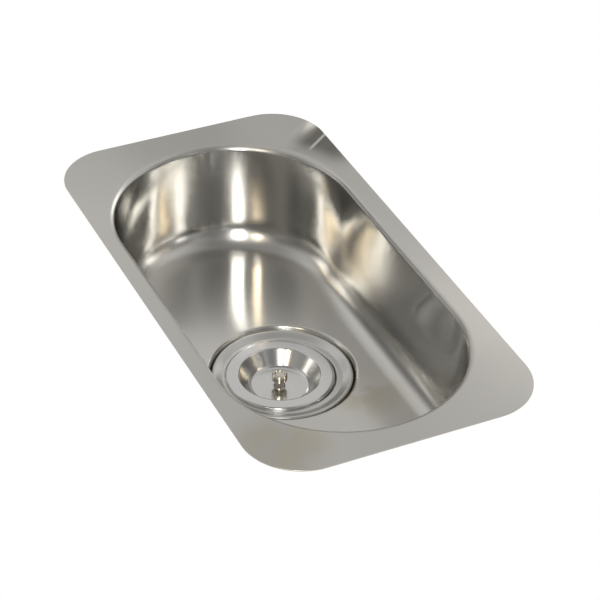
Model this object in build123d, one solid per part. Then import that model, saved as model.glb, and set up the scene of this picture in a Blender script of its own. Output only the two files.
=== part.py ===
"""Single bowl kitchen sink with a basket strainer and a dished lid, in millimetres.

Z points up. The origin is the centre of the bowl's mouth, in the plane of the flange's top face.
X runs along the bowl, Y across it. Each piece is written to its own STEP file in parts/.
"""
from build123d import *
from math import cos, radians, sqrt
import os

# Bowl: the mouth is a long slot with round ends, and the walls lean in by the draft
sink_sheet = 1.0
mouth_length = 378.0
mouth_width = 194.0
mouth_bend = 1.5
bowl_depth = 92.5
wall_draft = 3.0
floor_bend = 24.0
floor_fall = 2.5

# Flat flange around the mouth, trimmed a little off the bowl's centre
flange_end_margin = 26.5
flange_side_margin = 16.0
flange_corner_radius = 44.5
flange_shift_x = -4.0
flange_shift_y = 2.2

# Round recess stamped into the floor, with the drain hole in it
recess_radius = 58.5
recess_depth = 6.5
recess_wall_width = 3.0
recess_bend = 0.8
drain_hole_radius = 44.5

# Seals and nut that clamp the strainer to the floor
flange_gasket_thickness = 1.5
flange_gasket_width = 5.0
under_gasket_thickness = 3.0
under_gasket_width = 10.6
friction_washer_thickness = 1.0
friction_washer_width = 11.6
seal_hole_gap = 0.6
locknut_height = 13.0
locknut_plate = 3.5
locknut_wall = 5.0
locknut_lugs = 6
locknut_lug_width = 9.0
thread_gap = 0.15

# Strainer body: rolled lip, sloping ring, lid seat, basket ledge, cup and outlet
strainer_sheet = 1.0
strainer_radius = 57.0
lip_below_floor = 0.3
lip_width = 3.5
lip_height = 2.0
lid_play = 4.0
basket_ledge_drop = 4.0
basket_ledge_width = 3.3
cup_radius = 38.5
cup_depth = 34.0
cup_bend = 6.0
outlet_radius = 20.0
outlet_cone_drop = 5.0
outlet_wall = 3.9
outlet_length = 24.0

# Spider across the outlet
spider_ring_radius = 5.0
spider_ring_width = 2.5
spider_arm_width = 3.0
spider_arms = 4
spider_thickness = 3.0
spider_drop = 6.0
spider_rim = 1.2

# Tailpiece and the nut that holds it
tailpiece_radius = 19.05
tailpiece_wall = 1.0
tailpiece_length = 80.0
tailpiece_flange = 2.0
tail_washer_thickness = 2.0
coupling_nut_height = 20.0
coupling_nut_wall = 4.5
coupling_nut_lip = 3.0
coupling_nut_hole_gap = 0.75
coupling_nut_ribs = 8
coupling_rib_width = 5.0
coupling_rib_height = 1.6

# Basket
basket_sheet = 0.7
basket_rim_gap = 0.8
basket_wall_gap = 0.6
basket_depth = 27.0
basket_floor_radius = 33.5
basket_bend = 5.0
basket_slots = 18
basket_slot_width = 3.2
basket_slot_height = 14.0
floor_hole_radius = 2.1
inner_hole_circle = 19.5
inner_hole_count = 10
outer_hole_circle = 27.0
outer_hole_count = 16

# Post through the basket, with the stopper under it
post_height = 14.0
post_base_radius = 5.5
post_neck_radius = 3.0
post_cap_radius = 6.5
stem_radius = 2.5
stopper_top_radius = 12.0
stopper_radius = 22.5
stopper_edge = 1.8
stopper_gap = 0.3
stopper_plate_radius = 15.0
stopper_plate_thickness = 1.0
post_nut_width = 8.0
post_nut_height = 3.0
snap_tip_gap = 0.4
snap_tip_length = 9.0

# Lid: flat rim with a rolled edge, dished cup and a turned knob in it
lid_sheet = 0.8
lid_radius = 43.5
lid_edge_height = 2.5
lid_cup_mouth_radius = 32.5
lid_cup_floor_radius = 23.5
lid_cup_depth = 12.0
lid_rest_y = -2.5
knob_height = 12.0
knob_base_radius = 4.8
knob_neck_radius = 3.25
knob_cap_radius = 5.85
knob_dimple = 0.6
knob_screw_radius = 1.5
knob_screw_depth = 7.0
knob_screw_head_radius = 2.9
knob_screw_head_height = 1.6
knob_washer_radius = 4.4
knob_washer_thickness = 0.6

# Sound-deadening pads under the floor, one at each side of the drain
pad_thickness = 2.0
pad_length = 62.0
pad_width = 96.0
pad_corner_radius = 12.0
pad_to_recess = 10.0

# Sizes that follow from the sizes above
flange_length = mouth_length + 2 * flange_end_margin
flange_width = mouth_width + 2 * flange_side_margin

# Heights that follow from the sizes above
floor_z = -bowl_depth
recess_z = floor_z - recess_depth
seat_z = recess_z + flange_gasket_thickness + strainer_sheet
ledge_z = seat_z - basket_ledge_drop
cup_bottom_z = ledge_z - cup_depth
outlet_z = cup_bottom_z - outlet_cone_drop
outlet_end_z = outlet_z - outlet_length
tailpiece_top_z = outlet_end_z - tail_washer_thickness
basket_floor_z = ledge_z + basket_sheet - basket_depth
lid_top_z = seat_z + lid_edge_height
lid_floor_z = lid_top_z - lid_cup_depth

# Radii that follow from the sizes above
step_radius = cup_radius + basket_ledge_width
seat_outer_radius = lid_radius + lid_play
cup_outer_radius = cup_radius + strainer_sheet
outlet_outer_radius = outlet_radius + outlet_wall
seal_inner_radius = step_radius + strainer_sheet + seal_hole_gap
locknut_radius = seal_inner_radius + friction_washer_width


def turned(points, bends=0.0):
    """A ring or shaft turned about Z from a closed outline of (radius, height) points."""
    outline = FilletPolyline(*points, radius=bends, close=True)
    return revolve(Plane.XZ * make_face(outline.edges()), Axis.Z)


def pressed(points, bends, sheet):
    """A round sheet pressing. Its upper face follows the points from the edge to the middle.

    Each bend is the radius on its tight side, and the sheet lies to the left of the path.
    """
    upper = [Vector(*point) for point in points]
    runs = [(end - start).normalized() for start, end in zip(upper, upper[1:])]
    lefts = [Vector(-run.Y, run.X) for run in runs]
    lower = [upper[0] + lefts[0] * sheet]
    upper_bends = [0]
    lower_bends = [0]
    for corner, before, after, bend in zip(upper[1:], lefts, lefts[1:], bends):
        lower.append(corner + (before + after) * (sheet / (1 + before.dot(after))))
        turns_left = before.X * after.Y - before.Y * after.X > 0
        upper_bends.append(bend + sheet if turns_left else bend)
        lower_bends.append(bend if turns_left else bend + sheet)
    lower.append(upper[-1] + lefts[-1] * sheet)
    outline = [(point.X, point.Y) for point in upper + lower[::-1]]
    return turned(outline, upper_bends + [0, 0] + lower_bends[::-1])


def flat_ring(inner, outer, bottom, top):
    """A plain washer between two heights."""
    return turned([(inner, bottom), (outer, bottom), (outer, top), (inner, top)])


def cone_z(radius):
    """Height of the strainer's sloping bottom at a radius."""
    share = (cup_radius - radius) / (cup_radius - outlet_radius)
    return cup_bottom_z - share * outlet_cone_drop


def bowl_form(grow):
    """The bowl's hollow, grown on all sides: the slot runs down with draft to a floor that falls to X = 0."""
    side_grow = grow / cos(radians(wall_draft))
    slot = SlotOverall(mouth_length + 2 * side_grow, mouth_width + 2 * side_grow)
    walls = extrude(slot, amount=-(bowl_depth + 4 * floor_fall + grow), taper=wall_draft)
    fall_radius = (mouth_length / 2) ** 2 / (2 * floor_fall)
    floor_roll = Cylinder(fall_radius + grow, 2 * mouth_width, rotation=(90, 0, 0))
    form = walls & Pos(0, 0, fall_radius - bowl_depth) * floor_roll
    floor = form.faces().sort_by(Axis.Z)[0]
    return fillet(floor.edges(), floor_bend + grow)


def recess_form(grow):
    """The space of the stamped recess, grown on all sides."""
    lean = recess_wall_width / recess_depth
    side_grow = grow * sqrt(1 + lean ** 2)
    top = floor_z + recess_bend + sink_sheet
    bottom = recess_z - grow
    top_radius = recess_radius + lean * (top - floor_z) + side_grow
    bottom_radius = recess_radius + lean * (bottom - floor_z) + side_grow
    points = [(0, bottom), (bottom_radius, bottom), (top_radius, top), (0, top)]
    return turned(points, [0, recess_bend + grow, 0, 0])


def sink_bowl():
    """Flange, walls, floor and recess, drawn from one sheet of even thickness."""
    outline = RectangleRounded(flange_length, flange_width, flange_corner_radius)
    plate = Pos(flange_shift_x, flange_shift_y, 0) * extrude(outline, amount=-sink_sheet)
    outside = plate + bowl_form(sink_sheet)
    under_mouth = outside.faces().filter_by(Plane.XY).group_by(Axis.Z)[-2][0].inner_wires()[0]
    outside = fillet(under_mouth.edges(), mouth_bend)
    outside += recess_form(sink_sheet)
    sink = outside - bowl_form(0) - recess_form(0)
    mouth = sink.faces().sort_by(Axis.Z)[-1].inner_wires()[0]
    sink = fillet(mouth.edges(), mouth_bend + sink_sheet)
    sink -= Pos(0, 0, recess_z) * Cylinder(drain_hole_radius, 4 * sink_sheet)
    rim = recess_rim_edges(sink)
    return fillet(rim, recess_bend + sink_sheet)


def recess_rim_edges(sink):
    """The edge where the bowl's floor turns down into the recess."""
    lowest = floor_z - 0.1 * sink_sheet
    highest = floor_z + 0.5 * sink_sheet
    near_floor = sink.edges().filter_by_position(Axis.Z, lowest, highest)
    return near_floor.filter_by(lambda edge: abs(max_radius(edge) - recess_radius) < 0.5 * sink_sheet)


def max_radius(edge):
    """The furthest that an edge's middle or start lies from the drain's axis."""
    points = [edge @ 0, edge @ 0.5]
    return max(sqrt(point.X ** 2 + point.Y ** 2) for point in points)


def floor_pad(side):
    """A pad that follows the underside of the floor, on one side of the drain."""
    skin = bowl_form(sink_sheet + pad_thickness) - bowl_form(sink_sheet)
    centre_x = side * (recess_radius + pad_to_recess + pad_length / 2)
    outline = RectangleRounded(pad_length, pad_width, pad_corner_radius)
    column = Pos(centre_x, 0, -1.5 * bowl_depth) * extrude(outline, amount=bowl_depth)
    return skin & column


def strainer_body():
    """The flanged cup of the strainer with its threaded outlet."""
    lip_z = floor_z - lip_below_floor
    lip_inner_radius = strainer_radius - lip_width
    points = [
        (strainer_radius, lip_z - lip_height),
        (strainer_radius, lip_z),
        (lip_inner_radius, lip_z - 0.1 * lip_height),
        (seat_outer_radius, seat_z),
        (step_radius + 0.5, seat_z),
        (step_radius, ledge_z),
        (cup_radius, ledge_z),
        (cup_radius, cup_bottom_z),
        (outlet_radius, outlet_z),
    ]
    body = pressed(points, [0.5, 1.0, 1.0, 0.5, 0.5, 0.8, cup_bend], strainer_sheet)
    joint_z = -0.4 * strainer_sheet
    outlet = turned([
        (outlet_radius, outlet_end_z),
        (outlet_outer_radius, outlet_end_z),
        (outlet_outer_radius, cone_z(outlet_outer_radius) + joint_z),
        (outlet_radius, outlet_z + joint_z),
    ])
    return body + outlet


def flange_gasket():
    """Ring between the recess and the strainer's flange."""
    inner = drain_hole_radius + seal_hole_gap
    return flat_ring(inner, inner + flange_gasket_width, recess_z, recess_z + flange_gasket_thickness)


def under_gasket():
    """Rubber ring against the underside of the recess."""
    top = recess_z - sink_sheet
    outer = seal_inner_radius + under_gasket_width
    return flat_ring(seal_inner_radius, outer, top - under_gasket_thickness, top)


def friction_washer():
    """Fibre ring that lets the nut turn without dragging the rubber."""
    top = recess_z - sink_sheet - under_gasket_thickness
    return flat_ring(seal_inner_radius, locknut_radius, top - friction_washer_thickness, top)


def locknut():
    """Large nut on the cup's thread, with lugs for the spanner."""
    top = recess_z - sink_sheet - under_gasket_thickness - friction_washer_thickness
    bottom = top - locknut_height
    bore = cup_outer_radius + thread_gap
    hub_radius = bore + locknut_wall
    nut = flat_ring(bore, hub_radius, bottom, top) + flat_ring(bore, locknut_radius, top - locknut_plate, top)
    lug_length = locknut_radius - bore - 0.5 * locknut_wall
    lug_x = bore + 0.5 * locknut_wall + lug_length / 2
    lug = Pos(lug_x, 0, (top + bottom) / 2) * Box(lug_length, locknut_lug_width, locknut_height)
    lugs = PolarLocations(0, locknut_lugs) * lug
    trim = flat_ring(0.5 * bore, locknut_radius, bottom, top)
    return (nut + lugs) & trim


def outlet_spider():
    """Cross with a centre ring that guides the basket's tip."""
    top = outlet_z - spider_drop
    bottom = top - spider_thickness
    outer = outlet_radius - thread_gap / 3
    centre_outer = spider_ring_radius + spider_ring_width
    spider = flat_ring(spider_ring_radius, centre_outer, bottom, top)
    spider += flat_ring(outer - spider_rim, outer, bottom, top)
    arm_start = spider_ring_radius + 0.5 * spider_ring_width
    arm_end = outer - 0.5 * spider_rim
    arm_length = arm_end - arm_start
    arm = Pos(arm_start + arm_length / 2, 0, (top + bottom) / 2)
    arm *= Box(arm_length, spider_arm_width, spider_thickness)
    return spider + PolarLocations(0, spider_arms) * arm


def tail_washer():
    """Flat seal between the outlet and the tailpiece."""
    return flat_ring(outlet_radius, outlet_outer_radius - thread_gap, tailpiece_top_z, outlet_end_z)


def tailpiece():
    """Waste tube with a flange at its top."""
    inner = tailpiece_radius - tailpiece_wall
    bottom = tailpiece_top_z - tailpiece_length
    tube = flat_ring(inner, tailpiece_radius, bottom, tailpiece_top_z)
    flange_outer = outlet_outer_radius - thread_gap
    return tube + flat_ring(inner, flange_outer, tailpiece_top_z - tailpiece_flange, tailpiece_top_z)


def coupling_nut():
    """Nut that pulls the tailpiece's flange against the outlet, with grip ribs."""
    lip_top = tailpiece_top_z - tailpiece_flange
    bottom = lip_top - coupling_nut_lip
    top = bottom + coupling_nut_height
    bore = outlet_outer_radius + thread_gap
    outer = bore + coupling_nut_wall
    hole = tailpiece_radius + coupling_nut_hole_gap
    nut = turned(
        [(hole, bottom), (outer, bottom), (outer, top), (bore, top), (bore, lip_top), (hole, lip_top)],
        [0, 1.0, 1.0, 0, 0, 0],
    )
    rib_depth = 2 * coupling_rib_height
    rib = Pos(outer, 0, (top + bottom) / 2) * Box(rib_depth, coupling_rib_width, coupling_nut_height - 4.0)
    return nut + PolarLocations(0, coupling_nut_ribs) * rib


def basket_cup():
    """The perforated basket that hangs by its rim on the strainer's ledge."""
    rim_radius = step_radius - basket_rim_gap
    wall_top_radius = cup_radius - basket_wall_gap - basket_sheet
    top = ledge_z + basket_sheet
    points = [
        (rim_radius, top),
        (wall_top_radius, top),
        (basket_floor_radius, basket_floor_z),
        (stem_radius + thread_gap, basket_floor_z),
    ]
    cup = pressed(points, [0.6, basket_bend], basket_sheet)
    cup -= wall_slots()
    holes = PolarLocations(inner_hole_circle, inner_hole_count) * floor_hole()
    holes += PolarLocations(outer_hole_circle, outer_hole_count) * floor_hole()
    return cup - holes


def floor_hole():
    """Cutter for one hole in the basket's floor."""
    return Pos(0, 0, basket_floor_z) * Cylinder(floor_hole_radius, 4 * basket_sheet)


def wall_slots():
    """Cutters for the upright slots around the basket's wall."""
    middle_z = basket_floor_z + basket_bend + (basket_depth - basket_bend) / 2
    slot = SlotOverall(basket_slot_height, basket_slot_width, rotation=90)
    cutter = extrude(Plane.YZ * slot, amount=cup_radius - basket_floor_radius / 2)
    cutter = Pos(basket_floor_radius / 2, 0, middle_z) * cutter
    return PolarLocations(0, basket_slots) * cutter


def basket_post():
    """Turned post that lifts the basket; its stem carries the stopper below the floor."""
    base = basket_floor_z
    top = base + post_height
    stem_end = snap_tip_top_z() - 0.5 * snap_tip_length
    waist_z = base + 0.3 * post_height
    cap_z = base + 0.6 * post_height
    points = [
        (0, stem_end),
        (stem_radius, stem_end),
        (stem_radius, base),
        (post_base_radius, base),
        (post_base_radius, base + 1.0),
        (post_neck_radius, waist_z),
        (post_neck_radius, cap_z),
        (post_cap_radius, cap_z + 1.2),
        (post_cap_radius, top),
        (0, top),
    ]
    return turned(points, [0, 0, 0, 0, 0.4, 1.0, 1.0, 0.6, 1.4, 0])


def stopper_floor_z():
    """Height of the rubber stopper's flat underside, inside its sealing edge."""
    return cone_z(outlet_radius) + stopper_gap + 0.6


def stopper_rubber():
    """Rubber bell under the basket that closes the outlet."""
    bore = stem_radius + thread_gap
    top = basket_floor_z - basket_sheet
    edge_z = cone_z(stopper_radius) + stopper_gap
    points = [
        (bore, stopper_floor_z()),
        (outlet_radius - 1.5, stopper_floor_z()),
        (outlet_radius, cone_z(outlet_radius) + stopper_gap),
        (stopper_radius, edge_z),
        (stopper_radius, edge_z + stopper_edge),
        (stopper_top_radius + 1.0, top - 3.0),
        (stopper_top_radius, top),
        (bore, top),
    ]
    return turned(points, [0, 0, 0, 0.4, 0.6, 2.0, 0, 0])


def stopper_plate():
    """Steel plate that backs the rubber."""
    top = stopper_floor_z()
    return flat_ring(stem_radius + thread_gap, stopper_plate_radius, top - stopper_plate_thickness, top)


def post_nut_top_z():
    """Underside of the stopper plate, where the nut bears."""
    return stopper_floor_z() - stopper_plate_thickness


def post_nut():
    """Hexagon nut on the post's stem."""
    hexagon = RegularPolygon(post_nut_width / 2, 6, major_radius=False)
    nut = Pos(0, 0, post_nut_top_z() - post_nut_height) * extrude(hexagon, amount=post_nut_height)
    return nut - Pos(0, 0, post_nut_top_z()) * Cylinder(stem_radius + thread_gap, 4 * post_nut_height)


def snap_tip_top_z():
    """Underside of the nut, where the tip starts."""
    return post_nut_top_z() - post_nut_height


def snap_tip():
    """Rounded tip on the stem's end, guided by the spider's ring."""
    top = snap_tip_top_z()
    bottom = top - snap_tip_length
    radius = spider_ring_radius - snap_tip_gap
    bore = stem_radius + thread_gap
    bore_end = top - 0.6 * snap_tip_length
    points = [(0, bottom), (radius, bottom), (radius, top), (bore, top), (bore, bore_end), (0, bore_end)]
    return turned(points, [0, 0.6 * radius, 0.3, 0, 0, 0])


def lid_dish():
    """The lid's pressing: rolled edge, flat rim and cup, with a hole for the knob's screw."""
    points = [
        (lid_radius, seat_z),
        (lid_radius, lid_top_z),
        (lid_cup_mouth_radius, lid_top_z),
        (lid_cup_floor_radius, lid_floor_z),
        (knob_screw_radius + thread_gap, lid_floor_z),
    ]
    return on_lid(pressed(points, [0.5, 0.7, 2.0], lid_sheet))


def lid_knob():
    """Turned knob with a flared base, a neck and a dimpled cap."""
    base = lid_floor_z
    top = base + knob_height
    neck_z = base + 0.35 * knob_height
    cap_z = base + 0.46 * knob_height
    bore = knob_screw_radius + thread_gap
    bore_end = base + knob_screw_depth + thread_gap
    points = [
        (bore, base),
        (knob_base_radius, base),
        (knob_base_radius, base + 0.6),
        (knob_neck_radius, neck_z),
        (knob_neck_radius, cap_z),
        (knob_cap_radius, cap_z + 1.0),
        (knob_cap_radius, top - 1.2),
        (0.7 * knob_cap_radius, top),
        (0.5 * knob_cap_radius, top),
        (0.3 * knob_cap_radius, top - knob_dimple),
        (0, top - knob_dimple),
        (0, bore_end),
        (bore, bore_end),
    ]
    return on_lid(turned(points, [0, 0, 0.3, 0.9, 0.7, 0.5, 0.5, 0.4, 0, 0, 0, 0, 0]))


def knob_screw():
    """Screw that holds the knob from under the lid."""
    under = lid_floor_z - lid_sheet - knob_washer_thickness
    end = lid_floor_z + knob_screw_depth
    points = [
        (0, under - knob_screw_head_height),
        (knob_screw_head_radius, under - knob_screw_head_height),
        (knob_screw_head_radius, under),
        (knob_screw_radius, under),
        (knob_screw_radius, end),
        (0, end),
    ]
    return on_lid(turned(points, [0, 0.8, 0, 0, 0.4, 0]))


def knob_washer():
    """Washer under the knob's screw."""
    top = lid_floor_z - lid_sheet
    bore = knob_screw_radius + thread_gap
    return on_lid(flat_ring(bore, knob_washer_radius, top - knob_washer_thickness, top))


def on_lid(piece):
    """The lid lies loose on its seat, a little off the strainer's axis."""
    return Pos(0, lid_rest_y, 0) * piece


pieces = {
    "sink_bowl": sink_bowl(),
    "floor_pad_left": floor_pad(-1),
    "floor_pad_right": floor_pad(1),
    "flange_gasket": flange_gasket(),
    "strainer_body": strainer_body(),
    "under_gasket": under_gasket(),
    "friction_washer": friction_washer(),
    "locknut": locknut(),
    "outlet_spider": outlet_spider(),
    "tail_washer": tail_washer(),
    "tailpiece": tailpiece(),
    "coupling_nut": coupling_nut(),
    "basket_cup": basket_cup(),
    "basket_post": basket_post(),
    "stopper_rubber": stopper_rubber(),
    "stopper_plate": stopper_plate(),
    "post_nut": post_nut(),
    "snap_tip": snap_tip(),
    "lid_dish": lid_dish(),
    "lid_knob": lid_knob(),
    "knob_screw": knob_screw(),
    "knob_washer": knob_washer(),
}

os.makedirs("parts", exist_ok=True)
for name, piece in pieces.items():
    piece.label = name
    export_step(piece, f"parts/{name}.step")
    print(name, round(piece.volume, 1), "mm3")
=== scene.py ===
# %% [markdown]
# # A single bowl kitchen sink
#
# The sink is one sheet of stainless steel, drawn down into a bowl with a flat flange round it. A strainer
# with a basket sits in the drain, and a dished lid with a small turned knob lies on top.
#
# The CAD frame already holds every piece at its true size and place. This lesson rebuilds the pieces that
# the light plays on as fine, even meshes, gives each finish its own nodes, and then lights the sink the way
# polished steel likes it: with a few soft shapes for it to mirror.

# %% The frame
import math

import bpy
import numpy as np
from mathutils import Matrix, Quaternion, Vector


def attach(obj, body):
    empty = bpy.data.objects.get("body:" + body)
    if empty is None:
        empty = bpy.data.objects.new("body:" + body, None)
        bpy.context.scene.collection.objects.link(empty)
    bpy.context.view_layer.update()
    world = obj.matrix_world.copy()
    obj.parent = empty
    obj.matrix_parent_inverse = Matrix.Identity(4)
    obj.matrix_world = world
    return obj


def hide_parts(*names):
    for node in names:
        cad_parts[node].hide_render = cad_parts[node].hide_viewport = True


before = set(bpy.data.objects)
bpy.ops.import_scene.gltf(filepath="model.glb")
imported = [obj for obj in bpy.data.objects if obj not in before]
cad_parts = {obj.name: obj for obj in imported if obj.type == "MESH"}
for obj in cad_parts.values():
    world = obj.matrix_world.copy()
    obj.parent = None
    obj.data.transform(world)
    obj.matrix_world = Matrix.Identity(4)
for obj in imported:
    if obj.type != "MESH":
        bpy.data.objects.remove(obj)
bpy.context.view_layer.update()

MM = 0.001
MM_PER_METRE = 1000.0
print("pieces in the frame:", len(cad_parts))

# %% [markdown]
# ## The camera
#
# A long lens looks down over the near corner of the flange. Its place and turn were solved from the outline
# of the flange, the mouth of the bowl and the rings of the drain, so the picture lines up without any shift.
# How long the lens is shows in how little the flange narrows towards its far end.

# %% The camera
camera_place = Vector((1232.58, -594.13, 1000.0)) * MM
looks_along = Vector((-0.718666, 0.354140, -0.598417))
camera_roll = math.radians(1.762)

camera_data = bpy.data.cameras.new("camera")
camera_data.sensor_width = 36.0
camera_data.lens = 133.505
camera = bpy.data.objects.new("camera", camera_data)
bpy.context.scene.collection.objects.link(camera)
camera.rotation_mode = "QUATERNION"
camera.location = camera_place
camera.rotation_quaternion = looks_along.to_track_quat("-Z", "Y") @ Quaternion((0, 0, 1), camera_roll)
bpy.context.scene.camera = camera
print("from the camera to the middle of the mouth:", round(camera_place.length, 3), "m")

# %% [markdown]
# ## From rings to a skin
#
# Every pressed or turned piece here is a stack of rings with the same number of points. A skin of quads
# between neighbouring rings gives even faces, which steel needs: its reflections show every uneven face.
# A ring that shrinks to the axis becomes one point, so a knob closes with a neat fan.

# %% Rings to a skin
SHARP_ANGLE = math.radians(30)


def skin(name, rings):
    """A closed mesh object from a loop of rings. Each ring is an array of points; one point is a pole."""
    points, starts = [], []
    for ring in rings:
        starts.append(len(points))
        points.extend(map(tuple, ring))
    count = max(len(ring) for ring in rings)
    faces = []
    for low in range(len(rings)):
        high = (low + 1) % len(rings)
        if len(rings[low]) == 1 and len(rings[high]) == 1:
            continue
        for step in range(count):
            after = (step + 1) % count
            corners = []
            for ring, turn in ((low, step), (low, after), (high, after), (high, step)):
                corner = starts[ring] + (turn if len(rings[ring]) > 1 else 0)
                if corner not in corners:
                    corners.append(corner)
            faces.append(corners)
    mesh = bpy.data.meshes.new(name)
    mesh.from_pydata(points, [], faces)
    mesh.validate()
    mesh.shade_smooth()
    mesh.set_sharp_from_angle(angle=SHARP_ANGLE)
    piece = bpy.data.objects.new(name, mesh)
    bpy.context.scene.collection.objects.link(piece)
    even = piece.modifiers.new("even normals", "WEIGHTED_NORMAL")
    even.keep_sharp = True
    print(name, "has", len(rings), "rings and", len(mesh.polygons), "faces")
    return piece


# %% [markdown]
# ## Bends
#
# Sheet metal turns every corner with a radius. One helper bends a corner between two straight runs. It works
# on whole arrays at once, because round the bowl each section is a little different: the floor falls
# towards the drain, so the bend at its foot sits lower in the middle than at the ends.

# %% Bends
def left_of(direction):
    """The direction a quarter turn to the left, which is the outside of a sheet that runs outwards."""
    return np.stack([-direction[..., 1], direction[..., 0]], -1)


def unit(vector):
    """The same direction with a length of one."""
    return vector / np.linalg.norm(vector, axis=-1, keepdims=True)


def turn_between(before, after):
    """The signed angle from one run of the section to the next."""
    cross = before[..., 0] * after[..., 1] - before[..., 1] * after[..., 0]
    return np.arctan2(cross, (before * after).sum(-1))


def bend(corner, before, after, radius, steps):
    """Points and outside directions round a bend of the section. The runs meet in the corner."""
    turn = turn_between(before, after)
    reach = (radius * np.tan(np.abs(turn) / 2))[..., None]
    start = corner - before * reach
    side = np.sign(turn)[..., None]
    centre = start + left_of(before) * side * radius
    made = []
    for step in range(steps + 1):
        angle = turn * step / steps
        cos, sin = np.cos(angle)[..., None], np.sin(angle)[..., None]
        way = before * cos + left_of(before) * sin
        made.append((centre - left_of(way) * side * radius, left_of(way)))
    return made


print("the outside of a sheet that runs along +X points", left_of(np.array([1.0, 0.0])))

# %% [markdown]
# ## Eased bends
#
# Where a plain arc runs into a straight wall, its bending stops at once, and polished steel shows that as a
# hard line in the reflection. On the pressed bowl the sheet springs back and the bending fades out instead.
# A curve editor could draw that by hand. Here the bend is walked in tiny strides whose turning fades, so it
# stays exact for every section round the bowl.

# %% Eased bends
STRIDES_PER_STEP = 8


def eased_bend(corner, before, after, radius, ease, steps):
    """A bend that starts with its full curvature and lets it fade out over the last share of its length."""
    turn = turn_between(before, after)
    strides = steps * STRIDES_PER_STEP
    fade = np.clip((1 - np.linspace(0, 1, strides + 1)) / ease, 0, 1)
    curvature = fade * fade * (3 - 2 * fade)
    turned_share = np.concatenate([[0], np.cumsum((curvature[1:] + curvature[:-1]) / 2)])
    length = radius * turn * strides / turned_share[-1]
    stride = (length / strides)[..., None]
    point, way, made = np.zeros_like(corner), before, []
    for index, share in enumerate(turned_share / turned_share[-1]):
        cos, sin = np.cos(turn * share)[..., None], np.sin(turn * share)[..., None]
        next_way = before * cos + left_of(before) * sin
        if index:
            point = point + (way + next_way) / 2 * stride
        way = next_way
        if index % STRIDES_PER_STEP == 0:
            made.append((point, left_of(way)))
    reach = (point * left_of(after)).sum(-1) / (before * left_of(after)).sum(-1)
    start = corner - before * reach[..., None]
    return [(start + point, normal) for point, normal in made]


# %% [markdown]
# ## The pressed bowl
#
# The bowl's mouth is a slot: two straight sides joined by half circles. The walls lean in by three degrees
# so that the press can let go, and a wide bend carries them into the floor. The floor is a very shallow
# valley that falls to the drain, where a round recess is stamped in.
#
# The section is laid out once per step round the slot, always across the wall. Rings of those sections make
# the face that shows, and the same rings set back by the sheet's thickness make the back.

# %% Sizes of the pressed bowl
sheet = 1.0
mouth_length, mouth_width = 376.0, 192.0
lip_radius = 4.5
bowl_depth = 92.5
wall_draft = math.radians(3.0)
foot_radius, foot_ease = 21.0, 0.45
floor_fall = 2.5
recess_radius, recess_depth, recess_wall_width = 58.5, 6.5, 3.0
recess_foot_radius, recess_rim_radius = 0.8, 2.6
drain_hole_radius = 44.5

half_straight = (mouth_length - mouth_width) / 2
mouth_radius = mouth_width / 2
valley_radius = (mouth_length / 2) ** 2 / (2 * floor_fall)
recess_z = -bowl_depth - recess_depth
print("the floor's valley has a radius of", round(valley_radius * MM, 2), "m")

# %% [markdown]
# ### Once round the slot
#
# Each step has a point on the slot's spine and a direction straight out across the wall. On the straight
# sides the spine point moves and the direction stays; round the ends it is the other way about. The ends
# get more steps, because they turn.

# %% Round the slot
SIDE_STEPS, END_STEPS = 48, 120


def slot_walk():
    """Steps once round the slot: the point of the spine and the way out, for each step."""
    along = np.linspace(half_straight, -half_straight, SIDE_STEPS, endpoint=False)
    turn = np.linspace(0, math.pi, END_STEPS, endpoint=False)
    spine, out = [], []
    for side in (1, -1):
        spine.append(np.stack([side * along, 0 * along], -1))
        out.append(np.tile([0.0, side], (SIDE_STEPS, 1)))
        way = turn + side * math.pi / 2
        spine.append(np.tile([-side * half_straight, 0.0], (END_STEPS, 1)))
        out.append(np.stack([np.cos(way), np.sin(way)], -1))
    return np.concatenate(spine), np.concatenate(out)


spine, out = slot_walk()
around = len(spine)


def valley_z(x):
    """Height of the bowl's floor."""
    return -bowl_depth + x ** 2 / (2 * valley_radius)


def placed(section, base, way):
    """A ring in space from a section point (distance out, height) for each step."""
    flat = base + way * section[:, :1]
    return np.concatenate([flat, section[:, 1:]], -1)


def leaned(direction, way):
    """A direction of the section turned into space."""
    return np.concatenate([way * direction[:, :1], direction[:, 1:]], -1)


print("steps round the bowl:", around)

# %% [markdown]
# ### Wall, lip and foot
#
# The lip rolls over a small radius into the flange, and its bright thin line is the first thing that the eye
# finds. The foot's corner lies where the leaning wall meets the valley. How deep that is depends on how far
# out it is, so a few rounds settle both.

# %% Wall, lip and the bend at the foot
FOOT_STEPS, WALL_STEPS, LIP_STEPS = 36, 12, 12
SETTLING_ROUNDS = 4
ones = np.ones((around, 1))
level = np.array([1.0, 0.0]) * ones
wall_up = np.array([math.sin(wall_draft), math.cos(wall_draft)]) * ones
mouth_corner = np.array([mouth_radius, 0.0]) * ones

foot_out = np.full(around, mouth_radius - bowl_depth * math.tan(wall_draft))
for _ in range(SETTLING_ROUNDS):
    foot_x = spine[:, 0] + out[:, 0] * foot_out
    foot_z = valley_z(foot_x)
    foot_out = mouth_radius + foot_z * math.tan(wall_draft)
floor_slope = foot_x / valley_radius * out[:, 0]
floor_out = unit(np.stack([np.ones(around), floor_slope], -1))
foot_corner = np.stack([foot_out, foot_z], -1)

foot = eased_bend(foot_corner, floor_out, wall_up, foot_radius, foot_ease, FOOT_STEPS)
lip = bend(mouth_corner, wall_up, level, lip_radius, LIP_STEPS)
wall = []
for share in np.linspace(0, 1, WALL_STEPS + 1)[1:-1]:
    wall.append((foot[-1][0] * (1 - share) + lip[0][0] * share, foot[-1][1]))
bowl_rings = [(placed(p, spine, out), leaned(n, out)) for p, n in foot + wall + lip]
print("the foot's bend starts", round(float(foot[0][0][:, 0].min()), 2), "mm from the spine")

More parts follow.
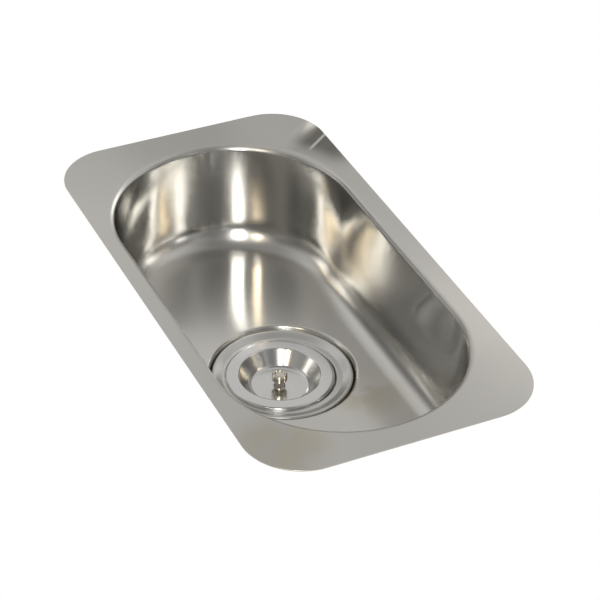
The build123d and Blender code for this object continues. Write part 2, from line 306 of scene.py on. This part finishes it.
# %% [markdown]
# ### The stamped recess
#
# A second blow of the press sinks a round seat for the strainer. It could be cut and bridged with a boolean,
# but that leaves long thin faces. Instead the slot's steps are kept and only turned to point away from the
# drain, so the same ring of points serves the round recess and the long bowl.

# %% The stamped recess
RECESS_FOOT_STEPS, RECESS_RIM_STEPS = 6, 10
foot_ring = bowl_rings[0][0]
turn_of = np.arctan2(foot_ring[:, 1], foot_ring[:, 0])
round_out = np.stack([np.cos(turn_of), np.sin(turn_of)], -1)
origin = np.zeros((around, 2))

rim_z = valley_z(recess_radius * np.cos(turn_of))
lean = recess_wall_width / recess_depth
recess_foot = np.array([recess_radius - recess_wall_width, recess_z]) * ones
recess_up = unit(np.array([recess_wall_width, recess_depth]) * ones)
rim_corner = np.stack([recess_radius + lean * (rim_z + bowl_depth), rim_z], -1)
rim_slope = recess_radius * np.cos(turn_of) / valley_radius * np.cos(turn_of)
rim_out = unit(np.stack([np.ones(around), rim_slope], -1))

recess = [(np.array([drain_hole_radius, recess_z]) * ones, left_of(level))]
recess += bend(recess_foot, level, recess_up, recess_foot_radius, RECESS_FOOT_STEPS)
recess += bend(rim_corner, recess_up, rim_out, recess_rim_radius, RECESS_RIM_STEPS)
recess_rings = [(placed(p, origin, round_out), leaned(n, round_out)) for p, n in recess]
print("rings in the recess:", len(recess_rings))

# %% [markdown]
# ### Floor and flange
#
# The floor's rings slide from the round recess to the long foot and take their height from the valley. The
# flange's rings slide from the lip to the trimmed edge, a plate with rounded corners that sits a little off
# the bowl's middle. Where that edge lies is found by halving a stretch again and again: it needs no special
# case for the corners.

# %% Floor and flange
FLOOR_STEPS, FLANGE_STEPS = 14, 8
HALVINGS = 40
FAR_OUT = 1000.0
flange_length, flange_width, flange_corner = 431.0, 226.0, 44.5
flange_shift = np.array([-4.0, 2.2])
edge_bevel = 0.15


def floor_ring(share):
    """A ring on the floor between the recess and the bend at the wall's foot."""
    flat = recess_rings[-1][0] * (1 - share) + foot_ring * share
    x = flat[:, 0]
    flat[:, 2] = valley_z(x)
    return flat, unit(np.stack([-x / valley_radius, 0 * x, 1 + 0 * x], -1))


def plate_reach(base, way, length, width, corner, shift):
    """How far out from each base point a rounded plate's edge lies."""
    half = np.array([length, width]) / 2
    low, high = np.zeros(len(base)), np.full(len(base), FAR_OUT)
    for _ in range(HALVINGS):
        reach = (low + high) / 2
        point = np.abs(base + way * reach[:, None] - shift) - (half - corner)
        distance = np.linalg.norm(np.maximum(point, 0), axis=1) + np.minimum(point.max(1), 0) - corner
        low, high = np.where(distance < 0, reach, low), np.where(distance < 0, high, reach)
    return reach


floor_rings = [floor_ring(share) for share in np.linspace(0, 1, FLOOR_STEPS + 1)[1:-1]]
plate_edge = plate_reach(spine, out, flange_length, flange_width, flange_corner, flange_shift)
lip_edge = lip[-1][0][:, 0]
upright = np.array([0.0, 0.0, 1.0]) * ones
flange_rings = []
for share in np.linspace(0, 1, FLANGE_STEPS + 1)[1:]:
    reach = lip_edge * (1 - share) + (plate_edge - edge_bevel) * share
    flange_rings.append((placed(np.stack([reach, 0 * reach], -1), spine, out), upright))
print("the flange is between", round(float((plate_edge - lip_edge).min()), 1), "and",
      round(float((plate_edge - lip_edge).max()), 1), "mm wide past the lip")

# %% [markdown]
# ### Front, edge and back
#
# The rings now run from the drain hole up to the trimmed edge. Set back along their normals by the sheet's
# thickness they make the back, as a solidify modifier would, but with both faces in one known order. That
# order is used at once: an attribute marks the underside, which keeps the mill's dull skin.

# %% Front, edge and back
face = recess_rings + floor_rings + bowl_rings + flange_rings
front = [ring for ring, normal in face]
back = [ring - sheet * normal for ring, normal in face]
edge = [placed(np.stack([plate_edge, 0 * plate_edge + z], -1), spine, out)
        for z in (-edge_bevel, edge_bevel - sheet)]
sink_pressing = skin("sink_pressing", [ring * MM for ring in front + edge + back[::-1]])
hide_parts("sink_bowl")
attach(sink_pressing, "sink")

# The edge's first ring still belongs to the face, and its second one to the back
first_behind = (len(front) + 1) * around
behind = np.zeros(len(sink_pressing.data.vertices), dtype=np.float32)
behind[first_behind:] = 1.0
underside = sink_pressing.data.attributes.new("underside", "FLOAT", "POINT")
underside.data.foreach_set("value", behind)
print("points on the underside:", int(behind.sum()))

# %% [markdown]
# ## Turned and pressed round pieces
#
# The strainer, the lid and the knob are all round. Their sections are drawn as the path of the face that
# shows, with a bend radius at each corner, and a second path set back by the sheet's thickness closes them.

# %% Round sections
TURN_STEPS = 180
BEND_STEP = math.radians(8)
ON_AXIS = 1e-6


def outline(corners, bends):
    """A closed section through the corners, bent where a radius is given."""
    corners = np.array(corners, float)
    made = []
    for i, radius in enumerate(bends):
        corner = corners[i]
        before = unit(corner - corners[i - 1])
        after = unit(corners[(i + 1) % len(corners)] - corner)
        if radius <= 0:
            made.append(corner)
            continue
        cosine = np.clip((before * after).sum(), -1, 1)
        steps = max(2, math.ceil(math.acos(cosine) / BEND_STEP))
        made += [point for point, _ in bend(corner, before, after, radius, steps)]
    return made


def pressed_outline(path, bends, thickness):
    """The section of a sheet whose face follows the path; each bend is the radius on its tight side."""
    path = np.array(path, float)
    ways = unit(path[1:] - path[:-1])
    aside = left_of(ways)
    back_path, face_bends, back_bends = [path[0] + aside[0] * thickness], [0], [0]
    for corner, one, two, radius in zip(path[1:], aside, aside[1:], bends):
        back_path.append(corner + (one + two) * thickness / (1 + one @ two))
        turns_left = one[0] * two[1] - one[1] * two[0] > 0
        face_bends.append(radius + thickness if turns_left else radius)
        back_bends.append(radius if turns_left else radius + thickness)
    back_path.append(path[-1] + aside[-1] * thickness)
    return outline(list(path) + back_path[::-1], face_bends + [0, 0] + back_bends[::-1])


def turned(name, section, centre=(0, 0), steps=TURN_STEPS):
    """A piece turned about an upright axis from its closed section."""
    angle = np.linspace(0, 2 * math.pi, steps, endpoint=False)
    rings = []
    for radius, height in section:
        if radius < ON_AXIS:
            rings.append(np.array([[centre[0], centre[1], height]]) * MM)
            continue
        ring = [centre[0] + radius * np.cos(angle), centre[1] + radius * np.sin(angle),
                height + 0 * angle]
        rings.append(np.stack(ring, -1) * MM)
    return skin(name, rings)


print("one step round a turned piece is", 360 / TURN_STEPS, "degrees")

# %% [markdown]
# ## The strainer
#
# The strainer is a pressed cup with a broad sloping flange. The lid's rim rests on its flat seat, and the
# basket hangs from the ledge below. The big nut runs on a thread rolled into the cup's outside, and the
# tube's nut on a coarser one round the outlet. A true helix would need a seam; grooves that close on
# themselves look the same from a step away and keep the skin's plain rings.

# %% Levels and radii of the strainer
gasket, strainer_sheet = 1.5, 1.0
ledge_drop, cup_depth, cone_drop, outlet_length = 4.0, 34.0, 5.0, 24.0
rim_below_floor, rim_height, rim_fall = 1.3, 2.0, 0.2
rim_radius, slope_top, seat_outer, seat_inner = 55.6, 53.0, 47.5, 42.3
ledge_outer, cup_radius = 41.8, 38.5
outlet_bore, outlet_outside, outlet_bevel, outlet_below_cone = 20.0, 23.9, 0.3, 0.4

seat_z = recess_z + gasket + strainer_sheet
ledge_z = seat_z - ledge_drop
cup_floor_z = ledge_z - cup_depth
outlet_z = cup_floor_z - cone_drop
outlet_end_z = outlet_z - outlet_length
rim_z = -bowl_depth - rim_below_floor
print("the outlet ends", round(-outlet_end_z, 1), "mm below the flange")

# %% The strainer's cup
strainer_path = [(rim_radius, rim_z - rim_height), (rim_radius, rim_z), (slope_top, rim_z - rim_fall),
                 (seat_outer, seat_z), (seat_inner, seat_z), (ledge_outer, ledge_z), (cup_radius, ledge_z),
                 (cup_radius, cup_floor_z), (outlet_bore, outlet_z)]
strainer_bends = [0.4, 3.0, 3.0, 0.5, 0.5, 0.8, 6.0]
strainer_section = pressed_outline(strainer_path, strainer_bends, strainer_sheet)


# A groove as shares of the pitch: down one flank, along its root, up the other flank, then a flat crest
ROOT_STARTS, ROOT_ENDS, CREST_STARTS = 0.4, 0.5, 0.9


def thread(radius, top, bottom, pitch, depth):
    """Grooves of a screw thread, cut inwards into an outside run of a section from bottom to top."""
    run = []
    for turn in range(int((top - bottom) / pitch)):
        low = bottom + turn * pitch
        run += [(radius, low), (radius - depth, low + ROOT_STARTS * pitch),
                (radius - depth, low + ROOT_ENDS * pitch), (radius, low + CREST_STARTS * pitch)]
    return [np.array(point) for point in run]


cup_outside = cup_radius + strainer_sheet
cup_thread = thread(cup_outside, top=ledge_z - 4.0, bottom=cup_floor_z + 7.0, pitch=1.8, depth=0.4)
outside_points = [i for i, point in enumerate(strainer_section) if np.isclose(point[0], cup_outside)]
lowest = min(outside_points, key=lambda i: strainer_section[i][1])
strainer_section[lowest + 1:lowest + 1] = cup_thread
strainer_pressing = turned("strainer_pressing", strainer_section)

# %% The strainer's outlet
outlet_top_z = outlet_z - outlet_below_cone
outlet_thread = thread(outlet_outside, top=outlet_top_z - 1.0, bottom=outlet_end_z + 1.0,
                       pitch=2.3, depth=0.9)
outlet_foot = [(outlet_bore, outlet_end_z), (outlet_outside - outlet_bevel, outlet_end_z),
               (outlet_outside, outlet_end_z + outlet_bevel)]
outlet_head = [(outlet_outside, outlet_top_z), (outlet_bore, outlet_top_z)]
strainer_outlet = turned("strainer_outlet", outlet_foot + outlet_thread + outlet_head)
for piece in (strainer_pressing, strainer_outlet):
    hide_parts("strainer_body")
    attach(piece, "sink")

# %% [markdown]
# ## The lid
#
# The lid is a flat rim with a turned-down edge and a dish pressed into it. It lies loose on its seat, so its
# axis is a little off the strainer's. The bends are softer than a drawing would give them: each catches a
# narrow bright line.

# %% The lid
lid_centre = (0, -2.5)
lid_sheet = 0.8
lid_radius, dish_mouth_radius, dish_floor_radius, screw_hole = 43.5, 32.5, 23.5, 1.65
lid_edge_height, dish_depth = 2.5, 12.0
lid_bends = [1.6, 1.2, 5.0]

lid_top_z = seat_z + lid_edge_height
lid_floor_z = lid_top_z - dish_depth
lid_path = [(lid_radius, seat_z), (lid_radius, lid_top_z), (dish_mouth_radius, lid_top_z),
            (dish_floor_radius, lid_floor_z), (screw_hole, lid_floor_z)]
lid_pressing = turned("lid_pressing", pressed_outline(lid_path, lid_bends, lid_sheet), lid_centre)
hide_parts("lid_dish")
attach(lid_pressing, "lid")

# %% [markdown]
# ## The knob
#
# The knob is turned from bar: a foot, a narrow neck for two fingers, and a cap with a hollow top. It is one
# closed outline spun about the lid's axis, with the blind hole for the screw that holds it from below.

# %% The knob
base_radius, neck_radius, cap_radius = 4.8, 3.25, 6.2
knob_top = lid_floor_z + 12.0
base_z, neck_z, cap_z = lid_floor_z + 0.6, lid_floor_z + 4.2, lid_floor_z + 5.52
hole_end_z = lid_floor_z + 7.15
knob_path = [(screw_hole, lid_floor_z), (base_radius, lid_floor_z), (base_radius, base_z),
             (neck_radius, neck_z), (neck_radius, cap_z), (cap_radius, cap_z + 1.0),
             (cap_radius, knob_top - 1.2), (5.0, knob_top), (4.1, knob_top), (3.3, knob_top - 0.9),
             (0, knob_top - 1.1), (0, hole_end_z), (screw_hole, hole_end_z)]
knob_bends = [0, 0, 0.3, 0.9, 0.7, 0.5, 0.5, 0.4, 0.3, 0.3, 0, 0, 0]
knob_turning = turned("knob_turning", outline(knob_path, knob_bends), lid_centre, steps=96)
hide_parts("lid_knob")
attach(knob_turning, "lid")

# %% [markdown]
# ## A small language for finishes
#
# A finish is easier to read as a sum than as a heap of nodes. One class wraps a node's socket, and plain
# Python operators on it add the Math nodes. Every other node comes from one method.

# %% A small language for finishes
class Wire:
    """One socket of a node tree, ready for sums."""

    def __init__(self, socket):
        self.socket = socket

    def node(self, kind, settings=None, sockets=None, output=0):
        """Adds a node: its kind, its settings, then values or wires for its sockets."""
        return add_node(self.socket.id_data, kind, settings, sockets, output)

    def math(self, operation, *values):
        return self.node("Math", {"operation": operation}, dict(enumerate(values)))

    def __add__(self, other):
        return self.math("ADD", self, other)

    def __radd__(self, other):
        return self.math("ADD", other, self)

    def __sub__(self, other):
        return self.math("SUBTRACT", self, other)

    def __rsub__(self, other):
        return self.math("SUBTRACT", other, self)

    def __mul__(self, other):
        return self.math("MULTIPLY", self, other)

    def __rmul__(self, other):
        return self.math("MULTIPLY", other, self)


def add_node(tree, kind, settings=None, sockets=None, output=0):
    """A node in the tree, with its settings first and then its sockets."""
    node = tree.nodes.new("ShaderNode" + kind)
    for name, value in (settings or {}).items():
        setattr(node, name, value)
    for name, value in (sockets or {}).items():
        if isinstance(value, Wire):
            tree.links.new(value.socket, node.inputs[name])
        else:
            node.inputs[name].default_value = value
    return Wire(node.outputs[output])


def finish(name, **plain):
    """The frame's material of that name, or a new one, with one fresh Principled shader."""
    material = bpy.data.materials.get(name) or bpy.data.materials.new(name)
    material.use_nodes = True
    tree = material.node_tree
    tree.nodes.clear()
    shader = tree.nodes.new("ShaderNodeBsdfPrincipled")
    result = tree.nodes.new("ShaderNodeOutputMaterial")
    tree.links.new(shader.outputs[0], result.inputs["Surface"])
    for socket, value in plain.items():
        shader.inputs[socket.replace("_", " ")].default_value = value
    print("finish:", name)
    return material, shader


def wire_to(shader, socket, wire):
    """Lets the wire feed one socket of the shader."""
    wire.socket.id_data.links.new(wire.socket, shader.inputs[socket])


def place_of(material):
    """The point on the piece, in its own frame."""
    return add_node(material.node_tree, "TexCoord", output="Object")


# %% [markdown]
# ### Tools for finishes
#
# Most finishes are the same few steps: soft noise, a soft threshold, a mix of two close colours and a bump.
# Each becomes one short word here. The mix counts its sockets by number, because its colour sockets share
# their names with those for plain values.

# %% Tools for finishes
FIRST_COLOUR, SECOND_COLOUR, MIXED_COLOUR = 6, 7, 2


def noise(place, scale, detail=2.0):
    """Soft noise between 0 and 1. The scale counts blobs per metre."""
    return place.node("TexNoise", {}, {"Vector": place, "Scale": scale, "Detail": detail})


def stretched(place, along, across, upright):
    """The same place, drawn out: small factors make long marks."""
    sockets = {"Vector": place, "Scale": (along, across, upright)}
    return place.node("Mapping", {"vector_type": "POINT"}, sockets)


def ramp(value, low, high, start=0.0, end=1.0):
    """A soft step: start below low, end above high."""
    sockets = {"Value": value, "From Min": low, "From Max": high, "To Min": start, "To Max": end}
    return value.node("MapRange", {"interpolation_type": "SMOOTHSTEP"}, sockets)


def blend(share, first, second):
    """Mixes two colours."""
    sockets = {"Factor": share, FIRST_COLOUR: first, SECOND_COLOUR: second}
    return share.node("Mix", {"data_type": "RGBA"}, sockets, MIXED_COLOUR)


def bumped(shader, height, millimetres):
    """Feeds a height between 0 and 1 to the shader as a bump of that many millimetres."""
    bump = height.node("Bump", {}, {"Strength": 1.0, "Distance": millimetres * MM, "Height": height})
    wire_to(shader, "Normal", bump)


def axis(place, index):
    """One coordinate of the place: 0, 1 or 2 for X, Y or Z."""
    return place.node("SeparateXYZ", {}, {0: place}, index)


def flat_distance(place, x, y):
    """Millimetres from an upright line through x and y."""
    moved = place.node("VectorMath", {"operation": "SUBTRACT"}, {0: place, 1: (x * MM, y * MM, 0.0)})
    level_way = moved.node("VectorMath", {"operation": "MULTIPLY"},
                           {0: moved, 1: (MM_PER_METRE, MM_PER_METRE, 0.0)})
    return level_way.node("VectorMath", {"operation": "LENGTH"}, {0: level_way}, "Value")


def spot(place, x, y, inner, outer):
    """A soft round mark: one inside the inner radius, nought outside the outer one, in millimetres."""
    return ramp(flat_distance(place, x, y), inner, outer, 1.0, 0.0)


# %% [markdown]
# ## Satin steel
#
# The sheet arrives from the mill with a fine belt-rubbed grain. Drawing stretches it over the punch, and the
# walls come out smoother than the flange and the floor. So the finish follows the height: flat parts scatter
# the light, walls keep a readable mirror. Separate materials would do it too, with a hard line between them.

# %% Where the sheet is what
sink_steel, shader = finish("sink_steel", Metallic=1.0, Anisotropic=0.7, Anisotropic_Rotation=0.25)
place = place_of(sink_steel)
height = axis(place, 2)
underneath = place.node("Attribute", {"attribute_name": "underside"}, {}, "Fac")
flange_share = ramp(height, -3.5 * MM, -0.8 * MM)
wall_share = ramp(height, -87.0 * MM, -70.0 * MM) * (1 - flange_share)

# %% [markdown]
# ### The buckled corner
#
# At one corner the flange has been knocked: it sags on both sides of a short crease, so it mirrors a darker
# part of the room, and the crease itself catches the light. The flange must stay flat to seat under a
# worktop, so the knock is a bump, a painted shade for the sag's darker reflection and a painted highlight
# along the crease, and it leaves the mesh alone. The bump grows from the lip outwards.

# %% The buckled corner of the flange
crease_x, crease_y = -152.7, 92.5
crease_way = unit(np.array([-14.8, 20.0]))
sag_starts = 103.0
aside_of_crease = (crease_way[1] * MM_PER_METRE, -crease_way[0] * MM_PER_METRE, 0.0)
across = place.node("VectorMath", {"operation": "DOT_PRODUCT"}, {0: place, 1: aside_of_crease}, "Value")
from_crease = across - float(crease_x * crease_way[1] - crease_y * crease_way[0])
beyond_lip = flat_distance(place, -half_straight, 0.0) - sag_starts
near_crease = ramp(from_crease, -26.0, -7.0) * ramp(from_crease, 12.0, 42.0, 1.0, 0.0)
buckle_and_painted_shade = near_crease * ramp(axis(place, 1), 60 * MM, 80 * MM) * flange_share
sag = buckle_and_painted_shade * beyond_lip.math("MAXIMUM", beyond_lip, 0.0)
painted_crease_highlight = ramp(from_crease * from_crease, 0.3, 3.0, 1.0, 0.0) * buckle_and_painted_shade * ramp(beyond_lip, 5.0, 14.0)
print("the crease points", round(math.degrees(math.atan2(crease_way[1], crease_way[0]))), "degrees from +X")

# %% [markdown]
# ### Tints of the sheet
#
# Steel is a warm grey that changes by a few percent from place to place. On top of that lie worn areas on the
# flange where hands and cloths go, and tan marks of dried water beside the drain and on the near corner.
# Round spots say where, and noise breaks their edges. The walls are tinted a little darker as painted
# shade, and the knocked corner gets painted shade and a painted highlight.

# %% Tints of the sheet
cloud = noise(place, 18.0)
stain = noise(place, 5.0, 3.0)
flat_tint = blend(cloud, (0.645, 0.625, 0.585, 1), (0.685, 0.665, 0.618, 1))

worn = spot(place, -207, 0, 25, 75) * 0.45 + spot(place, 180, -90, 12, 48) * 0.75 + (stain - 0.5) * 0.5
flat_tint = blend(worn, flat_tint, (0.52, 0.505, 0.46, 1))

floor_marks = spot(place, 50, 46, 8, 40) * (1 - flange_share)
flange_marks = spot(place, 178, -84, 10, 44) * flange_share
dried_water = (floor_marks + flange_marks) * ramp(noise(place, 42.0, 3.0), 0.36, 0.60)
flat_tint = blend(dried_water * 0.75, flat_tint, (0.56, 0.52, 0.42, 1))

# Painted shade: the sagging flange round the crease is darkened to stand in for the darker room it mirrors
flat_tint = blend(buckle_and_painted_shade * ramp(beyond_lip, 1.0, 20.0) * 0.95, flat_tint, (0.27, 0.26, 0.225, 1))
# Painted highlight: a pale line along the crease, where it catches the light
flat_tint = blend(painted_crease_highlight, flat_tint, (0.86, 0.85, 0.80, 1))
# Painted shade: the walls get a slightly darker colour than the flange and floor, for the light they lose to
# each other inside the bowl
tint_with_painted_wall_shade = blend(wall_share, flat_tint, (0.60, 0.593, 0.572, 1))
mill_tint = blend(stain, (0.44, 0.44, 0.43, 1), (0.52, 0.515, 0.50, 1))
wire_to(shader, "Base Color", blend(underneath, tint_with_painted_wall_shade, mill_tint))
print("colours mixed on the sheet:", sum(node.type == "MIX" for node in sink_steel.node_tree.nodes))

# %% [markdown]
# ### Gloss and grain
#
# No pressed sheet is truly flat. Slow waves bend the reflections a little, and a fine grain along the bowl
# breaks them. The roughness steps from floor to wall to flange, and the underside is duller than all three.

# %% Gloss and grain
floor_roughness, wall_roughness, flange_extra, mill_roughness = 0.25, 0.15, 0.11, 0.42
shown_roughness = ramp(wall_share, 0.0, 1.0, floor_roughness, wall_roughness) + flange_share * flange_extra
roughness = shown_roughness * (1 - underneath) + underneath * mill_roughness + (cloud - 0.5) * 0.04
wire_to(shader, "Roughness", roughness)

grain = noise(stretched(place, along=90.0, across=3000.0, upright=90.0), 1.0, 1.0)
waves = noise(place, 11.0, 1.0)
bumped(shader, waves * 0.25 + grain * 0.001 - sag * 0.13, 1.0)
print("nodes in the satin steel:", len(sink_steel.node_tree.nodes))

# %% [markdown]
# ## Turned steel
#
# The strainer and the lid are pressed and then polished on a turning spindle, which leaves fine rings round
# the axis. The grain is noise over the distance from the axis alone, a little broken up round the turn.

# %% Turned steel
AROUND_THE_AXIS = {"Anisotropic_Rotation": 0.25}
BREAKS_PER_METRE = 14.0


def ring_grain(place, centre_y, rings_per_metre):
    """Fine concentric marks round an upright axis."""
    moved = place.node("VectorMath", {"operation": "SUBTRACT"}, {0: place, 1: (0.0, centre_y * MM, 0.0)})
    flat = moved.node("VectorMath", {"operation": "MULTIPLY"}, {0: moved, 1: (1.0, 1.0, 0.0)})
    radius = flat.node("VectorMath", {"operation": "LENGTH"}, {0: flat}, "Value")
    spread = radius.node("CombineXYZ", {}, {0: radius * rings_per_metre, 1: axis(place, 2) * rings_per_metre})
    broken = place.node("VectorMath", {"operation": "MULTIPLY"}, {0: place, 1: (BREAKS_PER_METRE,) * 3})
    return noise(spread.node("VectorMath", {"operation": "ADD"}, {0: spread, 1: broken}), 1.0)


def turned_steel(name, colour, roughness, centre_y=0.0, rings=2600.0, depth=0.004, **plain):
    """Steel with a ring grain; the colour is an average that the marks vary by a few percent."""
    material, shader = finish(name, Metallic=1.0, **plain)
    place = place_of(material)
    grain = ring_grain(place, centre_y, rings)
    stain = noise(place, 35.0)
    dark = tuple(0.95 * value for value in colour) + (1,)
    light = tuple(1.04 * value for value in colour) + (1,)
    wire_to(shader, "Base Color", blend(grain * 0.6 + stain * 0.4, dark, light))
    wire_to(shader, "Roughness", roughness + (stain - 0.5) * 0.06 + (grain - 0.5) * 0.05)
    bumped(shader, grain, depth)
    return material


lid_y = lid_centre[1]
strainer_steel = turned_steel("strainer_steel", (0.67, 0.66, 0.63), 0.33, Anisotropic=0.5, **AROUND_THE_AXIS)
lid_steel = turned_steel("lid_steel", (0.69, 0.683, 0.662), 0.20, lid_y, Anisotropic=0.4, **AROUND_THE_AXIS)
knob_chrome = turned_steel("knob_chrome", (0.62, 0.58, 0.50), 0.12, lid_y, rings=1800.0, depth=0.002)
turned_steel("basket_steel", (0.60, 0.59, 0.57), 0.21)
turned_steel("post_chrome", (0.66, 0.65, 0.63), 0.12, rings=1800.0, depth=0.002)
turned_steel("tube_steel", (0.56, 0.56, 0.555), 0.16, rings=900.0, depth=0.003)

for piece, material in ((sink_pressing, sink_steel), (strainer_pressing, strainer_steel),
                        (strainer_outlet, strainer_steel), (lid_pressing, lid_steel),
                        (knob_turning, knob_chrome)):
    piece.data.materials.append(material)

# %% [markdown]
# ## Rubber, fibre and plastic
#
# These sit under the sink. The seals are black rubber with a dull bloom. The pads are a heavy bitumen rubber
# with a pebbled skin, which stops the steel from ringing. The friction washer is pressed fibre, and the nuts
# are moulded plastic with a faint flow texture.

# %% Rubber, fibre and plastic
def moulded(name, first, second, scale, roughness, change, depth, **plain):
    """A finish of two close colours over soft noise, with a bump of the same noise made finer."""
    material, shader = finish(name, **plain)
    place = place_of(material)
    speckle = noise(place, scale, 4.0)
    wire_to(shader, "Base Color", blend(speckle, first + (1,), second + (1,)))
    wire_to(shader, "Roughness", roughness + (noise(place, scale / 6) - 0.5) * change)
    bumped(shader, noise(place, scale * 2, 3.0), depth)


moulded("seal_rubber", (0.012, 0.012, 0.012), (0.030, 0.029, 0.028), scale=420.0,
        roughness=0.55, change=0.3, depth=0.06, Specular_IOR_Level=0.35)
moulded("pad_rubber", (0.050, 0.052, 0.055), (0.085, 0.087, 0.09), scale=260.0,
        roughness=0.75, change=0.25, depth=0.35)
moulded("fibre_washer", (0.40, 0.27, 0.16), (0.56, 0.41, 0.26), scale=520.0,
        roughness=0.85, change=0.1, depth=0.05)
moulded("seal_nylon", (0.70, 0.68, 0.60), (0.78, 0.76, 0.69), scale=160.0,
        roughness=0.42, change=0.2, depth=0.03, Subsurface_Weight=0.15, Subsurface_Scale=0.002)
moulded("nut_plastic", (0.60, 0.60, 0.585), (0.67, 0.67, 0.655), scale=110.0,
        roughness=0.45, change=0.25, depth=0.05)

# %% [markdown]
# ## The board
#
# The photograph shows the sink cut out along its flange, with nothing of its underside. Here it hangs by its
# flange in a thin white board with a hole for the bowl, as it would in a worktop. The board belongs to the
# room and not to the sink. It glows a little for rays that look, so that it is as white as the backdrop.

# %% The board
board_length, board_width, board_corner = 600.0, 344.0, 18.0
board_top, board_thickness = -1.02, 3.0
board_bottom = board_top - board_thickness
hole_reach = np.full(around, 101.5)
board_reach = plate_reach(spine, out, board_length, board_width, board_corner, np.zeros(2))
board_rings = []
for reach, z in ((hole_reach, board_top), (board_reach, board_top),
                 (board_reach, board_bottom), (hole_reach, board_bottom)):
    board_rings.append(placed(np.stack([reach, 0 * reach + z], -1), spine, out) * MM)
board = skin("board", board_rings)


def seen(tree):
    """One for rays that look, and nought for rays that only carry light."""
    camera_ray = add_node(tree, "LightPath", output="Is Camera Ray")
    return camera_ray + add_node(tree, "LightPath", output="Is Glossy Ray") \
        + add_node(tree, "LightPath", output="Is Transmission Ray")


board_white, shader = finish("board_white", Base_Color=(0.9, 0.9, 0.9, 1), Roughness=0.7,
                             Emission_Strength=0.45)
wire_to(shader, "Emission Color", seen(board_white.node_tree))
board.data.materials.append(board_white)

# %% [markdown]
# ## The room
#
# Steel shows the room more than itself. The room here is a dim grey dome with darker and lighter patches,
# which stand for walls, doorways and shelves. Below the horizon lies a white floor. One picture of a room
# would be quicker, but a few soft patches can be moved until each shade on the bowl has its cause.

# %% The room
def towards(azimuth, elevation):
    """A unit vector from compass angles in degrees, turning left from +X."""
    a, e = math.radians(azimuth), math.radians(elevation)
    return Vector((math.cos(a) * math.cos(e), math.sin(a) * math.cos(e), math.sin(e)))


def patch(direction, azimuth, elevation, inner, outer):
    """A soft round patch of the dome: one inside the inner angle, nought outside the outer one."""
    centre = tuple(towards(azimuth, elevation))
    closeness = direction.node("VectorMath", {"operation": "DOT_PRODUCT"}, {0: direction, 1: centre}, "Value")
    return ramp(closeness, math.cos(math.radians(outer)), math.cos(math.radians(inner)))


# Each patch: azimuth, elevation, inner and outer angle in degrees, and how much it adds to the dome
dome_grey = 0.56
dome_patches = [
    (282, 28, 8, 24, -0.37),
    (357, 28, 8, 23, -0.33),
    (210, 26, 8, 18, -0.50),
    (206, 47, 5, 18, 0.25),
    (65, 52, 6, 26, 0.22),
    (43, 28, 8, 24, -0.34),
    (115, 22, 6, 20, 0.30),
    (158, 40, 10, 28, 0.13),
    (158, 10, 6, 24, -0.42),
    (332, 74, 12, 42, -0.32),
]

world = bpy.data.worlds.new("room")
bpy.context.scene.world = world
world.use_nodes = True
background = world.node_tree.nodes["Background"]
background.inputs["Color"].default_value = (1, 1, 1, 1)
direction = add_node(world.node_tree, "TexCoord", output="Generated")
dome = dome_grey
for azimuth, elevation, inner, outer, change in dome_patches:
    dome = dome + patch(direction, azimuth, elevation, inner, outer) * change
print("patches in the room:", len(dome_patches))

# %% [markdown]
# ### White for the eye
#
# The floor under the sink is white for rays that look and greyer for rays that only carry light, so the
# underside isn't flooded. The camera sees plain white everywhere.

# %% White for the eye
carried_light = 0.6
ground_share = ramp(axis(direction, 2), -0.05, 0.05, 1.0, 0.0)
looks = seen(world.node_tree)
ground = looks + (1 - looks) * carried_light
room = ground_share * ground + (1 - ground_share) * dome
camera_ray = add_node(world.node_tree, "LightPath", output="Is Camera Ray")
wire_to(background, "Strength", camera_ray + (1 - camera_ray) * room)
print("nodes in the room:", len(world.node_tree.nodes))

# %% [markdown]
# ## The windows
#
# Two tall bright windows stand behind the camera. The bowl's end wall and floor meet at nearly a right
# angle, so they send the windows straight back: that is where the long bright streaks come from. A narrow
# one makes the thin streak beside them, a warm one the glow on the side walls, and a soft one fills the rest.
# They are area lamps, which give a satin sheet far less grain than bright patches of the dome would.

# %% The windows
WINDOW_DISTANCE = 3.0


def window(name, azimuth, elevation, width, height, radiance, colour):
    """A bright sheet far away. Width and height are angles in degrees as seen from the sink."""
    lamp = bpy.data.lights.new(name, "AREA")
    lamp.shape = "RECTANGLE"
    lamp.size = 2 * WINDOW_DISTANCE * math.tan(math.radians(width / 2))
    lamp.size_y = 2 * WINDOW_DISTANCE * math.tan(math.radians(height / 2))
    lamp.energy = math.pi * lamp.size * lamp.size_y * radiance
    lamp.color = colour
    way = towards(azimuth, elevation)
    holder = bpy.data.objects.new(name, lamp)
    holder.location = way * WINDOW_DISTANCE
    holder.rotation_mode = "QUATERNION"
    holder.rotation_quaternion = way.to_track_quat("Z", "Y")
    holder.visible_camera = False
    bpy.context.scene.collection.objects.link(holder)
    print(name, "gives", round(lamp.energy, 1), "watts")


window("tall window", 332.5, 31, 9.2, 26, 8.4, (1.0, 1.0, 0.99))
window("upper window", 332.5, 52, 9, 22, 4.0, (1.0, 1.0, 0.97))
window("narrow window", 308.5, 51, 2.5, 18, 5.0, (1.0, 0.95, 0.86))
window("warm window", 311, 38, 6.5, 8, 14.0, (1.0, 0.83, 0.58))
window("side window", 121, 23, 18, 18, 2.6, (1.0, 0.98, 0.95))

# %% [markdown]
# ## The last line
#
# The view is set to the plain Standard transform, so colours show as they are written.

# %% The last line
bpy.context.scene.view_settings.view_transform = "Standard"
